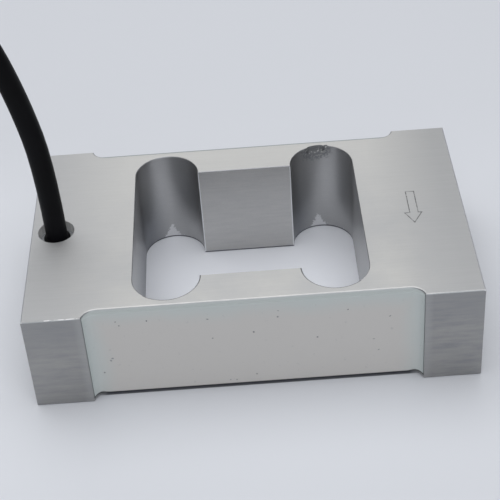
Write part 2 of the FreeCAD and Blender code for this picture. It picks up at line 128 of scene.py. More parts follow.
@dataclass(frozen=True)
class MilledAluminium(Surface):
    """Bare aluminium alloy, face milled and then lightly blasted.

    The broad faces are pale and even. The pads' faces keep the cutter's level smears and
    look darker. The window's walls are smoother, so they mirror each other softly, and
    the broken edges carry thin bright highlights painted into their colour.
    """

    name: str = "milled_aluminium"
    # What each tone starts from. The edge without highlight and the pads' two tones are used as they are.
    tones: tuple[tuple[str, str], ...] = (
        ("pad", "#ABAAA8"),
        ("pad shade", "#999A9C"),
        ("worn edge", "#A8A9AA"),
        ("broad face", "#BABBBC"),
        ("broken edge", "#A8A9AA"),
        ("ground spot", "#BABCBF"),
        ("flat wall", "#BEBDBB"),
        ("slot wall", "#B5B5B5"),
        ("bore wall", "#D2D3D4"),
        ("metal", "#999A9C"),
    )
    # What is laid over a tone, in this order: the tone, the mask, and a colour or a tone.
    layers: tuple[tuple[str, str, str], ...] = (
        ("broad face", "cloud", "#C6C6C4"),
        # A painted sheen: brighter towards the back, duller towards the ends.
        ("broad face", "back", "#CECECC"),
        ("broad face", "left end", "#BBBCBD"),
        ("broad face", "right end", "#B2B3B4"),
        # A painted highlight on the broken edges, broken here and there.
        ("broken edge", "highlight breaks", "#C8C8C8"),
        # The trim groove's flanks are painted against the light falling on them, with painted glints on its
        # pits.
        ("ground spot", "dirt", "#76787B"),
        ("ground spot", "glint", "#C4C5C5"),
        ("flat wall", "bands", "#B0B0B0"),
        ("bore wall", "streak", "#FCFCFB"),
        ("metal", "smear", "pad"),
        ("metal", "blotch", "pad"),
        # Painted shade on the pads' upper part.
        ("metal", "upper", "pad shade"),
        ("metal", "pad rims", "slot wall"),
        # Painted shade on the slots' left walls.
        ("slot wall", "left wall shade", "#8E9094"),
        ("metal", "window", "slot wall"),
        ("metal", "flat walls", "flat wall"),
        ("metal", "bore", "bore wall"),
        # Painted reflections at the foot of the rear walls.
        ("metal", "painted_reflections", "#F2F2F3"),
        # Painted highlights on the cusps where the flat walls meet the slots.
        ("metal", "corners", "#E4E5E6"),
        # A painted contact shadow along the window walls' feet.
        ("metal", "wall feet", "#66686C"),
        # The broken edges' painted highlights: dulled at the outer corners, darker below, pale at the ends,
        # brightest along the left pad's front edge.
        ("metal", "edge", "broken edge"),
        ("metal", "outer edges", "worn edge"),
        ("metal", "edge feet", "#9A9EA1"),
        ("metal", "end edges", "#CBCCCF"),
        ("metal", "left edge highlight", "#E9E9EA"),
        ("metal", "inner edges", "#94959A"),
        ("metal", "broad", "broad face"),
        ("metal", "dark rim line", "#808183"),
        ("metal", "ground", "ground spot"),
    )
    broad_roughness: float = 0.53
    side_roughness: float = 0.42
    wall_roughness: float = 0.33
    bore_roughness: float = 0.8
    ground_roughness: float = 0.6
    grit_roughness: float = 0.08
    grit_shade: Pair = (0.955, 1.01)
    lay_shade: float = 0.035
    noise_span: Pair = (0.32, 0.68)
    grit_relief_mm: float = 0.015
    edge_relief_mm: float = -0.012
    ground_relief_mm: float = 0.05
    smear_relief_mm: float = 0.006
    slot_x_mm: float = 22.5
    slot_end_y_mm: float = 23.3
    rim_radii_mm: Pair = (9.08, 9.32)
    pocket_x_mm: float = -53.15
    pocket_radius_mm: float = 5.05
    ground_mm: Point = (21.2, 32.2, 28.9)
    ground_half_mm: Point = (5.0, 3.4, 3.7)
    ground_fray: float = 0.5
    ground_top_mm: float = 29.9
    triangle_half_mm: float = 3.3
    triangle_off_mm: float = 0.8
    triangle_high_mm: float = 5.0
    triangle_foot_mm: float = 0.9
    triangle_bow: float = 1.35
    triangle_fray_mm: float = 2.1
    triangle_share: float = 0.68
    # Each noise's pitch in mm and its detail.
    noises: tuple[tuple[str, Point, float], ...] = (
        # The blasted faces' clouds, the cutter's level smears, and chips and blotches.
        ("cloud", (22.0, 22.0, 22.0), 5.0),
        ("smear", (8.0, 8.0, 1.2), 4.0),
        ("chip", (0.6, 0.6, 0.6), 2.0),
        ("blotch", (6.0, 6.0, 3.0), 3.0),
        # The drill's upright streaks, and the breaks in the edges' painted highlight.
        ("streak", (0.8, 0.8, 14.0), 2.0),
        ("highlight breaks", (2.6, 2.6, 2.6), 3.0),
        # Blasting grit leaves pits of about 0.1 mm; they are drawn coarser so that they show.
        ("grit", (0.35, 0.35, 0.35), 2.0),
        # The belt's scratches are finer than this; they are drawn coarser so that they show.
        ("lay", (16.0, 0.6, 0.6), 3.0),
    )

    def looks(self, add: Adder) -> dict[str, Any]:
        """Lays the metal's tones over one another, with its roughness and relief.

        Args:
            add: Adds a node to the material.

        Returns:
            What the shader takes.
        """
        mask = self.masks(add)
        tone: dict[str, Any] = dict(self.tones)
        for under, where, over in self.layers:
            laid = {0: mask[where], 6: tone[under], 7: tone.get(over, over)}
            tone[under] = add(MIX, laid, data_type="RGBA")
        shade = add(RAMP, (mask["grit"], 0.0, 1.0, *self.grit_shade))
        shade = add(MATH, (mask["lay"], self.lay_shade, shade), "MULTIPLY_ADD")
        colour = add("ShaderNodeHueSaturation", {"Value": shade, "Color": tone["metal"]})
        rough: Any = self.side_roughness
        for where, value in (
            ("window", self.wall_roughness),
            ("bore", self.bore_roughness),
            ("broad", self.broad_roughness),
            ("ground", self.ground_roughness),
        ):
            rough = add(MIX, {0: mask[where], 2: rough, 3: value})
        rough = add(MATH, (mask["grit"], self.grit_roughness, rough), "MULTIPLY_ADD")
        # The edges are smoothed and the ground spot is pitted; the smears stop at the edges.
        relief: Any = self.grit_relief_mm * MM
        for where, depth in (("edge", self.edge_relief_mm), ("ground", self.ground_relief_mm)):
            relief = add(MATH, (mask[where], depth * MM, relief), "MULTIPLY_ADD")
        depth = self.smear_relief_mm * MM
        height: Any = add(MATH, (mask["edge"], -depth, depth), "MULTIPLY_ADD")
        height = add(MATH, (mask["smear"], height), "MULTIPLY")
        height = add(MATH, (mask["grit"], relief, height), "MULTIPLY_ADD")
        return {
            "Base Color": colour,
            # The bore is smeared with compound, which is no metal.
            "Metallic": add(MATH, (1.0, mask["bore"]), "SUBTRACT"),
            "Roughness": rough,
            "Normal": add(BUMP, {"Strength": 1.0, "Distance": 1.0, "Height": height}),
        }

    def masks(self, add: Adder) -> dict[str, Any]:
        """Marks the block's places.

        Args:
            add: Adds a node to the material.

        Returns:
            By name, the masks, which run from zero to one.
        """
        place = add("ShaderNodeTexCoord")
        at = add("ShaderNodeMapping", {0: place.outputs["Object"], 3: (1 / MM,) * 3})
        x, y, z = add(PARTS, (at,)).outputs
        facing_x, _, facing_z = add(PARTS, (place.outputs["Normal"],)).outputs
        along = add(MATH, (x,), "ABSOLUTE")
        level = add(MATH, (facing_z,), "ABSOLUTE")
        mask: dict[str, Any] = {}
        for name, pitch, detail in self.noises:
            scaled = add("ShaderNodeMapping", {0: at, 3: tuple(1 / length for length in pitch)})
            noise = add(NOISE, {"Vector": scaled, "Scale": 1.0, "Detail": detail, "Roughness": 0.6})
            mask[name] = add(RAMP, (noise, *self.noise_span))
        # Ramps: what each reads, where it starts and is full, and its share where that isn't one.
        for name, source, start, full, *share in (
            ("broad", level, 0.8, 0.95),
            ("edge", level, 0.3, 0.5),
            # The broad faces carry a painted sheen, brighter towards the back and duller towards the ends.
            ("back", y, -12.0, 32.0),
            ("left end", x, -33.0, -54.0, 0.9),
            ("right end", x, 36.0, 56.0, 0.9),
            # The painted edge highlight is dulled towards the pads' outer corners, most of all on the
            # left, and a brighter painted highlight runs along the left pad's front edge, broken here and
            # there.
            ("left worn", x, -50.0, -54.0, 0.8),
            ("right worn", x, 48.5, 50.5, 0.45),
            ("burr left", mask["highlight breaks"], 0.2, 0.45),
            # The broken edges' lower half is painted darker, without the highlight; those of the ends keep
            # a pale painted highlight.
            ("edge low", z, 29.9, 29.8),
            ("beyond", along, 59.6, 59.7),
            # The compound smeared the pads' inner rims paler, and their upper part is painted in shade.
            ("pad rims", along, 46.8, 45.2, 0.45),
            ("upper", z, 18.0, 24.0, 0.5),
            # The trim groove's overhung flank is painted paler and its upward flank darker, against the
            # light on them, with painted glints on its pits.
            ("dirt", facing_z, -0.5, 0.6),
            ("glint", mask["chip"], 0.62, 0.85),
            ("bands", mask["smear"], 0.0, 1.0, 0.5),
            ("blotch", mask["blotch"], 0.0, 1.0, 0.5),
            # The left wall of each slot is painted in shade, most of all low down.
            ("left wall", facing_x, 0.1, 0.8),
            ("deep", z, 24.0, 6.0),
            # A painted contact shadow along the walls' feet.
            ("foot", z, 0.55, 0.4),
        ):
            mask[name] = add(RAMP, (source, start, full, 0.0, *share))
        # Boxes: the middle of each, and half of its sides.
        for name, middle, half in (
            ("window", (0.0, 0.0, 0.0), (32.4, 32.6, 100.0)),
            ("flat walls", (0.0, 0.0, 0.0), (13.6, 32.6, 100.0)),
            ("between corners", (0.0, 0.0, 0.0), (13.25, 32.6, 100.0)),
            ("left pad's edge", (-49.3, -37.5, 30.0), (4.6, 1.5, 0.13)),
            ("front rims", (0.0, -self.slot_end_y_mm - 10.0, 30.0), (28.6, 12.0, 2.0)),
            ("rear walls", (0.0, self.slot_end_y_mm + 8.0, 3.0), (50.0, 2.0, 2.6)),
        ):
            off = self.reach(add, at, middle, half, "ABSOLUTE", "FLOOR")
            mask[name] = add(MATH, (off, 0.5), "LESS_THAN")
        # Upright rounds: the axis, and the radii between which they lie. A dark hairline
        # runs along the slots' rims, and folding the place finds both of them at once.
        folded = add(VECTOR, (at,), "ABSOLUTE")
        for name, spot, axis, inner, outer in (
            ("bore", at, (self.pocket_x_mm, 0.0, 0.0), 0.0, self.pocket_radius_mm),
            ("slot rims", folded, (self.slot_x_mm, self.slot_end_y_mm, 0.0), *self.rim_radii_mm),
        ):
            off = self.reach(add, spot, axis, (1.0, 1.0, 1e6))
            mask[name] = add(MATH, (off, (inner + outer) / 2, (outer - inner) / 2), "COMPARE")
        mask["painted_reflections"] = self.painted_reflections(add, at, z, mask["chip"])
        mask["ground"] = self.ground_spot(add, at, z, mask["chip"])
        mask["corners"] = add(MATH, (mask["flat walls"], mask["between corners"]), "SUBTRACT")
        mask["outer edges"] = add(MATH, (mask["left worn"], mask["right worn"]), "ADD")
        # What lies where two masks meet.
        for name, one, other in (
            ("outer edges", "edge", "outer edges"),
            ("edge feet", "edge", "edge low"),
            ("end edges", "edge", "beyond"),
            ("left edge highlight", "left pad's edge", "burr left"),
            ("left edge highlight", "edge", "left edge highlight"),
            ("dark rim line", "slot rims", "front rims"),
            ("dark rim line", "edge", "dark rim line"),
            ("inner edges", "edge", "window"),
            ("wall feet", "window", "foot"),
            ("left wall shade", "left wall", "deep"),
            ("painted_reflections", "painted_reflections", "rear walls"),
        ):
            mask[name] = add(MATH, (mask[one], mask[other]), "MULTIPLY")
        return mask

    @staticmethod
    def reach(add: Adder, spot: Node, middle: Point, half: Point, *steps: str) -> Node:
        """Measures how far a place is from a middle, in shares of a size.

        Args:
            add: Adds a node to the material.
            spot: The place in millimetres.
            middle: The middle.
            half: The size in each direction. A very large one leaves its direction out.
            *steps: What is done to the shares first. ABSOLUTE and FLOOR make them zero all
                through the box with these half sides.

        Returns:
            The distance.
        """
        for step in ("SUBTRACT", "DIVIDE", *steps, "LENGTH"):
            spot = add(VECTOR, (spot, middle if step == "SUBTRACT" else half), step)
        return spot

    def painted_reflections(self, add: Adder, at: Node, z: Socket, fray: Node) -> Node:
        """Marks the painted reflections at the foot of the rear walls.

        Args:
            add: Adds a node to the material.
            at: The place in millimetres.
            z: Its height.
            fray: The noise that frays their borders.

        Returns:
            A mask that is full inside their slopes.
        """
        off = self.reach(add, at, (-self.triangle_off_mm, 0.0, 0.0), (1.0, 1e6, 1e6))
        away = add(MATH, (add(MATH, (off, self.slot_x_mm), "SUBTRACT"),), "ABSOLUTE")
        near = add(RAMP, (away, self.triangle_half_mm, 0.2))
        peak = add(MATH, (near, self.triangle_bow), "POWER")
        top = add(MATH, (peak, self.triangle_high_mm, self.triangle_foot_mm), "MULTIPLY_ADD")
        frayed = add(MATH, (fray, self.triangle_fray_mm, z), "MULTIPLY_ADD")
        room = add(MATH, (top, frayed), "SUBTRACT")
        return add(RAMP, (room, -0.2, 0.45, 0.0, self.triangle_share))

    def ground_spot(self, add: Adder, at: Node, z: Socket, fray: Node) -> Node:
        """Marks the groove that trimmed the corner error, and the pitted wall below it.

        Args:
            add: Adds a node to the material.
            at: The place in millimetres.
            z: Its height.
            fray: The noise that frays its border.

        Returns:
            A mask that is one in the spot and zero away from it.
        """
        reach = self.reach(add, at, self.ground_mm, self.ground_half_mm)
        frayed = add(MATH, (fray, self.ground_fray, reach), "MULTIPLY_ADD")
        below = add(MATH, (z, self.ground_top_mm), "LESS_THAN")
        return add(MATH, (add(RAMP, (frayed, 1.35, 0.95)), below), "MULTIPLY")


@dataclass(frozen=True)
class SiliconeCoat(Surface):
    """Grey silicone compound poured over the gauges, cured to a soft satin skin.

    It thins out towards its borders, where the light passes it and tints it green.
    """

    name: str = "silicone_coat"
    middle_hex: str = "#CCCAC7"
    border_hex: str = "#C5CDCC"
    speck_hex: str = "#9EA0A2"
    rolled_edge_shade_hex: str = "#8A9193"
    foot_hex: str = "#303336"
    end_hex: str = "#6C7375"
    roughness: float = 0.42
    roughness_spread: float = 0.12
    ior: float = 1.41
    cloud_mm: float = 18.0
    dust_mm: float = 1.5
    dimple_mm: float = 2.5
    border_mm: float = 10.0
    wave_mm: float = 6.0
    half_length_mm: float = 44.0
    top_mm: float = 29.5
    foot_mm: float = 1.0
    foot_lift_mm: float = 0.7
    lift_x_mm: Pair = (40.0, 42.5)
    end_line_mm: float = 0.14
    cloud_relief_mm: float = 0.35
    dimple_relief_mm: float = 0.02

    def looks(self, add: Adder) -> dict[str, Any]:
        """Tints the skin by its borders and draws the lines along them.

        Args:
            add: Adds a node to the material.

        Returns:
            What the shader takes.
        """
        place = add("ShaderNodeTexCoord")
        at = add("ShaderNodeMapping", {0: place.outputs["Object"], 3: (1 / MM,) * 3})
        x, _, z = add(PARTS, (at,)).outputs
        rise = add(PARTS, (place.outputs["Normal"],)).outputs[2]
        clouds, dust, dimples = (
            add(NOISE, {"Vector": at, "Scale": 1 / pitch, "Detail": detail})
            for pitch, detail in ((self.cloud_mm, 3.0), (self.dust_mm, 3.0), (self.dimple_mm, 2.0))
        )
        along = add(MATH, (x,), "ABSOLUTE")
        to_end = add(MATH, (self.half_length_mm, along), "SUBTRACT")
        to_top = add(MATH, (self.top_mm, z), "SUBTRACT")
        nearest = add(MATH, (to_end, to_top), "MINIMUM")
        wavy = add(MATH, (clouds, self.wave_mm, nearest), "MULTIPLY_ADD")
        border = add(RAMP, (wavy, self.border_mm, 2.0), interpolation_type="SMOOTHSTEP")
        tone = add(MIX, {0: border, 6: self.middle_hex, 7: self.border_hex}, data_type="RGBA")
        # The foot rises into the corners at the pads.
        lift = add(RAMP, (along, *self.lift_x_mm, 0.0, self.foot_lift_mm))
        over_foot = add(MATH, (z, lift), "SUBTRACT")
        last = self.half_length_mm + 0.5
        # Dust on the skin, painted shade on the thin rolled upper edge where it faces up, the
        # dark lines where it meets the pads, and a painted black shadow line along its foot.
        for source, start, full, share, over in (
            (dust, 0.68, 0.8, 0.35, self.speck_hex),
            (rise, 0.15, 0.9, 0.75, self.rolled_edge_shade_hex),
            (along, last - 2 * self.end_line_mm, last - self.end_line_mm, 0.8, self.end_hex),
            (over_foot, self.foot_mm + 0.25, self.foot_mm - 0.1, 1.0, self.foot_hex),
        ):
            where = add(RAMP, (source, start, full, 0.0, share))
            tone = add(MIX, {0: where, 6: tone, 7: over}, data_type="RGBA")
        least = self.roughness - self.roughness_spread / 2
        height = add(MATH, (clouds, self.cloud_relief_mm * MM), "MULTIPLY")
        height = add(MATH, (dimples, self.dimple_relief_mm * MM, height), "MULTIPLY_ADD")
        return {
            "Base Color": tone,
            "Roughness": add(MATH, (dimples, self.roughness_spread, least), "MULTIPLY_ADD"),
            "IOR": self.ior,
            "Normal": add(BUMP, {"Strength": 1.0, "Distance": 1.0, "Height": height}),
        }


@dataclass(frozen=True)
class Dielectric(Surface):
    """Plastic, rubber, ceramic or dust of one colour, with faint scuffs and a fine grain."""

    base_hex: str
    scuff_hex: str
    roughness: float = 0.45
    ior: float = 1.5
    scuff_mm: float = 9.0
    grain_mm: float = 0.4
    grain_depth_mm: float = 0.008
    scuff_span: Pair = (0.42, 0.72)
    scuff_roughness: float = 0.1

    def looks(self, add: Adder) -> dict[str, Any]:
        """Scuffs the colour and the roughness alike, over an even grain.

        Args:
            add: Adds a node to the material.

        Returns:
            What the shader takes.
        """
        at = add("ShaderNodeTexCoord").outputs["Object"]
        scuffs = add(NOISE, {"Vector": at, "Scale": 1 / (self.scuff_mm * MM), "Detail": 4.0})
        grain = add(NOISE, {"Vector": at, "Scale": 1 / (self.grain_mm * MM), "Detail": 2.0})
        share = add(RAMP, (scuffs, *self.scuff_span))
        bump = {"Strength": 1.0, "Distance": self.grain_depth_mm * MM, "Height": grain}
        return {
            "Base Color": add(MIX, {0: share, 6: self.base_hex, 7: self.scuff_hex}, data_type="RGBA"),
            "Roughness": add(MATH, (share, self.scuff_roughness, self.roughness - 0.03), "MULTIPLY_ADD"),
            "IOR": self.ior,
            "Normal": add(BUMP, bump),
        }


@dataclass(frozen=True)
class ThinMetal(Surface):
    """Rolled, drawn or tinned metal of a small electrical piece."""

    base_hex: str
    dull_hex: str
    roughness: float = 0.3
    patch_mm: float = 1.2
    patch_relief_mm: float = 0.02
    patch_roughness: float = 0.2

    def looks(self, add: Adder) -> dict[str, Any]:
        """Mottles the metal in its colour, roughness and relief.

        Args:
            add: Adds a node to the material.

        Returns:
            What the shader takes.
        """
        at = add("ShaderNodeTexCoord").outputs["Object"]
        patches = add(NOISE, {"Vector": at, "Scale": 1 / (self.patch_mm * MM), "Detail": 3.0})
        rough = (patches, self.patch_roughness, self.roughness - self.patch_roughness / 2)
        bump = {"Strength": 0.5, "Distance": self.patch_relief_mm * MM, "Height": patches}
        return {
            "Base Color": add(MIX, {0: patches, 6: self.dull_hex, 7: self.base_hex}, data_type="RGBA"),
            "Metallic": 1.0,
            "Roughness": add(MATH, rough, "MULTIPLY_ADD"),
            "Normal": add(BUMP, bump),
        }


@dataclass(frozen=True)
class PaleTable(Surface):
    """Pale painted table: matt, a little paler where the block throws light on it."""

    name: str = "pale_table"
    base_hex: str = "#D2D5DB"
    cloud_hex: str = "#D4D7DD"
    near_hex: str = "#DEE1E7"
    window_hex: str = "#E6E9F0"
    foot_line_hex: str = "#676A71"
    roughness: float = 0.75
    # Half of the block's length less half of its depth, and the glow's reach on the table.
    length_less_depth: float = 0.0225
    near: Pair = (0.125, 0.06)
    # Where the glow is weaker, to the right of these, and its share there.
    left_end: Pair = (-0.045, -0.065)
    right_share: float = 0.35

    def looks(self, add: Adder) -> dict[str, Any]:
        """Clouds the table and tints it about the block.

        Args:
            add: Adds a node to the material.

        Returns:
            What the shader takes.
        """
        at = add("ShaderNodeTexCoord").outputs["Object"]
        clouds = add(NOISE, {"Vector": at, "Scale": 9.0})
        plain = add(MIX, {0: clouds, 6: self.base_hex, 7: self.cloud_hex}, data_type="RGBA")
        # Painted light from the block's sides makes the table paler near it, most at its left end.
        x = add(PARTS, (at,)).outputs[0]
        folded = add(VECTOR, (at,), "ABSOLUTE")
        along, across, _ = add(PARTS, (folded,)).outputs
        beside = add(MATH, (across, self.length_less_depth), "ADD")
        away = add(MATH, (along, beside), "MAXIMUM")
        close = add(RAMP, (away, *self.near), interpolation_type="SMOOTHSTEP")
        ends = add(RAMP, (x, *self.left_end, self.right_share))
        share = add(MATH, (close, ends), "MULTIPLY")
        tone = add(MIX, {0: share, 6: plain, 7: self.near_hex}, data_type="RGBA")
        # It is painted paler still in the block's window, where the walls throw light down, and
        # under each coat's raised foot a painted shadow shows as a dark line that fades at the pads.
        for over, ramps in (
            (self.window_hex, ((along, 0.04, 0.036), (across, 0.0365, 0.033))),
            (self.foot_line_hex, (
                (along, 0.0445, 0.041), (across, 0.0354, 0.0352), (across, 0.0335, 0.034),
            )),
        ):
            patch: Any = over
            for source, start, full in ramps:
                where = add(RAMP, (source, start, full))
                patch = add(MIX, {0: where, 6: tone, 7: patch}, data_type="RGBA")
            tone = patch
        return {"Base Color": tone, "Roughness": self.roughness}


class Finish(Enum):
    """The finishes that the pieces and the table are dressed in."""

    # Satin metal: even pale broad faces, level cutter's smears on the pads, soft mirror walls.
    ALUMINIUM = MilledAluminium()
    # A soft satin skin, warm grey in the middle and green grey where it thins at its borders.
    COAT = SiliconeCoat()
    # Laser marking: a thin dark oxide line that the satin face lightens here and there.
    ETCHED = Dielectric("laser_etched_line", "#5E5F60", "#A0A0A0", 0.6, scuff_mm=0.8)
    # Dust and trapped grit in the cured compound: dark and matt, some of it sunk and paler.
    GRIT = Dielectric("trapped_grit", "#87888A", "#B8BABA", 0.8, scuff_mm=7.0)
    # Extruded vinyl: near black, a soft satin highlight along the top.
    JACKET = Dielectric("extruded_vinyl_jacket", "#08080A", "#0F0F13", 0.5, 1.2, 14.0, 0.6, 0.01)
    # Moulded rubber: matt black that swallows the light at the cable's foot.
    RUBBER = Dielectric("moulded_rubber", "#0B0B0D", "#121214", 0.6, 1.2, 3.0)
    # Potting compound: an uneven grey fill with a faint gloss.
    POTTING = Dielectric("potting_compound", "#9A9DA0", "#86898B", 0.45, 1.41, 2.5, 0.8, 0.03)
    # Moulded nylon: dark grey, with a clearer sheen than the jacket's.
    NYLON = Dielectric("moulded_nylon", "#17171A", "#232326", 0.38, 1.53, 6.0)
    # Shrink sleeve: nearly black and lightly wrinkled.
    SHRINK = Dielectric("shrink_sleeve", "#121214", "#1E1E20", 0.5, 1.5, 5.0, 0.9, 0.03)
    # Vinyl insulation: clean glossy colours that tell the four leads apart.
    RED = Dielectric("red_vinyl_insulation", "#B01B1E", "#C23033", 0.35, 1.52, 5.0)
    BLACK = Dielectric("black_vinyl_insulation", "#18181A", "#26262A", 0.35, 1.52, 5.0)
    GREEN = Dielectric("green_vinyl_insulation", "#1C7A3A", "#2A8A4A", 0.35, 1.52, 5.0)
    WHITE = Dielectric("white_vinyl_insulation", "#DEDDD8", "#CFCDC6", 0.35, 1.52, 5.0)
    # Fluoropolymer insulation: milky, with a slippery gloss.
    LEAD = Dielectric("fluoropolymer_insulation", "#D8D5CC", "#C8C4B8", 0.3, 1.36, 4.0)
    # Polyimide film: glossy amber.
    FILM = Dielectric("polyimide_film", "#C98A2B", "#B5761C", 0.25, 1.7, 2.0)
    # Glass-fibre laminate: dull yellow green with the weave's fine grain.
    LAMINATE = Dielectric("glass_fibre_laminate", "#B0A868", "#9C9456", 0.45, 1.55, 0.8, 0.5, 0.02)
    # Glazed ceramic chip: black and glossy.
    CERAMIC = Dielectric("glazed_ceramic_chip", "#1B1C1E", "#2A2B2E", 0.25, 1.6, 1.0)
    # Tinned solder: a bright, uneven silver.
    TINNED = ThinMetal("tinned_solder", "#CFCFCB", "#A9AAA8", 0.32)
    # Rolled copper: warm and softly bright.
    COPPER = ThinMetal("rolled_copper", "#D9976F", "#B4714C", 0.35)
    # Etched constantan: a thin metal sheen with a brown cast.
    CONSTANTAN = ThinMetal("etched_constantan", "#B9A58C", "#A08D76", 0.4)
    # Etched nickel: a greyer, duller sheen.
    NICKEL = ThinMetal("etched_nickel", "#B8B2A6", "#9B958A", 0.4)
    # Painted board: pale, cool and matt.
    TABLE = PaleTable()

    def material(self) -> bpy.types.Material:
        """Returns the finish's material, built at its first use."""
        return bpy.data.materials.get(self.value.name) or self.value.build()


CORES = {"red": Finish.RED, "black": Finish.BLACK, "green": Finish.GREEN, "white": Finish.WHITE}


def dress(finish: Finish, *names: str) -> None:
    """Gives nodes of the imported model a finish.

    Args:
        finish: The finish for them all.
        *names: The nodes' names.
    """
    for name in names:
        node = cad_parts[name]
        if not node.material_slots:
            node.data.materials.append(None)
        for material_slot in node.material_slots:
            material_slot.material = finish.material()
        LOG.info("dressed %s in %s", name, finish.value.name)


def placed(name: str, data: Any) -> bpy.types.Object:
    """Adds an object with its data to the scene, at the origin."""
    item = bpy.data.objects.new(name, data)
    bpy.context.scene.collection.objects.link(item)
    return item


def new_piece(name: str, data: Any, finish: Finish) -> bpy.types.Object:
    """Adds a piece to the scene, dresses it and lets it ride on the root body.

    Args:
        name: The piece's name.
        data: Its mesh or curve.
        finish: Its finish.

    Returns:
        The new object, at the origin.
    """
    piece = placed(name, data)
    piece.data.materials.clear()
    piece.data.materials.append(finish.material())
    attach(piece, "root")
    LOG.info("made %s in %s", name, finish.value.name)
    return piece


def mesh_of(name: str, corners: Sequence[Point], faces: Sequence[Sequence[int]] = ()) -> Mesh:
    """Makes a mesh from corners in millimetres.

    Args:
        name: The mesh's name.
        corners: The corners' places in millimetres.
        faces: The faces, as numbers of corners. Points alone have none.

    Returns:
        The mesh, in metres.
    """
    mesh = bpy.data.meshes.new(name)
    mesh.from_pydata([[v * MM for v in corner] for corner in corners], [], [list(face) for face in faces])
    mesh.update()
    return mesh


@dataclass
class Copier:
    """A Geometry Nodes tree that sets one shape on each point of a mesh."""

    name: str
    sizes: dict[str, float]

    def __post_init__(self) -> None:
        """Starts the tree, with its geometry and the sizes as named inputs."""
        self.tree = bpy.data.node_groups.new(self.name, "GeometryNodeTree")
        self.add: Adder = partial(add_node, self.tree)
        new_socket = self.tree.interface.new_socket
        for way in ("INPUT", "OUTPUT"):
            new_socket("Geometry", in_out=way, socket_type="NodeSocketGeometry")
        for name, value in self.sizes.items():
            kind = "NodeSocketInt" if isinstance(value, int) else "NodeSocketFloat"
            new_socket(name, in_out="INPUT", socket_type=kind).default_value = value
        self.given = self.add("NodeGroupInput")
        self.size = self.given.outputs

    def set_on(self, points: Mesh, finish: Finish, **inputs: Any) -> Mesh:
        """Ends the tree, runs it over the points and keeps the result as a plain mesh.

        Args:
            points: The mesh whose points take the shape.
            finish: The shape's finish.
            **inputs: What the copying node takes: the shape as Instance, its Rotation and Scale.

        Returns:
            The evaluated mesh, with no modifier left.
        """
        copies = self.add("GeometryNodeInstanceOnPoints", {"Points": self.given} | inputs)
        real = self.add("GeometryNodeRealizeInstances", (copies,))
        painted = {"Geometry": real, "Material": finish.material()}
        self.add("NodeGroupOutput", (self.add("GeometryNodeSetMaterial", painted),))
        carrier = placed(f"{self.name}_carrier", points)
        modifier = carrier.modifiers.new(self.name, "NODES")
        modifier.node_group = self.tree
        for item in self.tree.interface.items_tree:
            if item.in_out == "INPUT" and item.name in self.sizes:
                modifier[item.identifier] = self.sizes[item.name]
        bpy.context.view_layer.update()
        evaluated = carrier.evaluated_get(bpy.context.evaluated_depsgraph_get())
        mesh = bpy.data.meshes.new_from_object(evaluated)
        carrier.modifiers.remove(modifier)
        bpy.data.objects.remove(carrier)
        return mesh


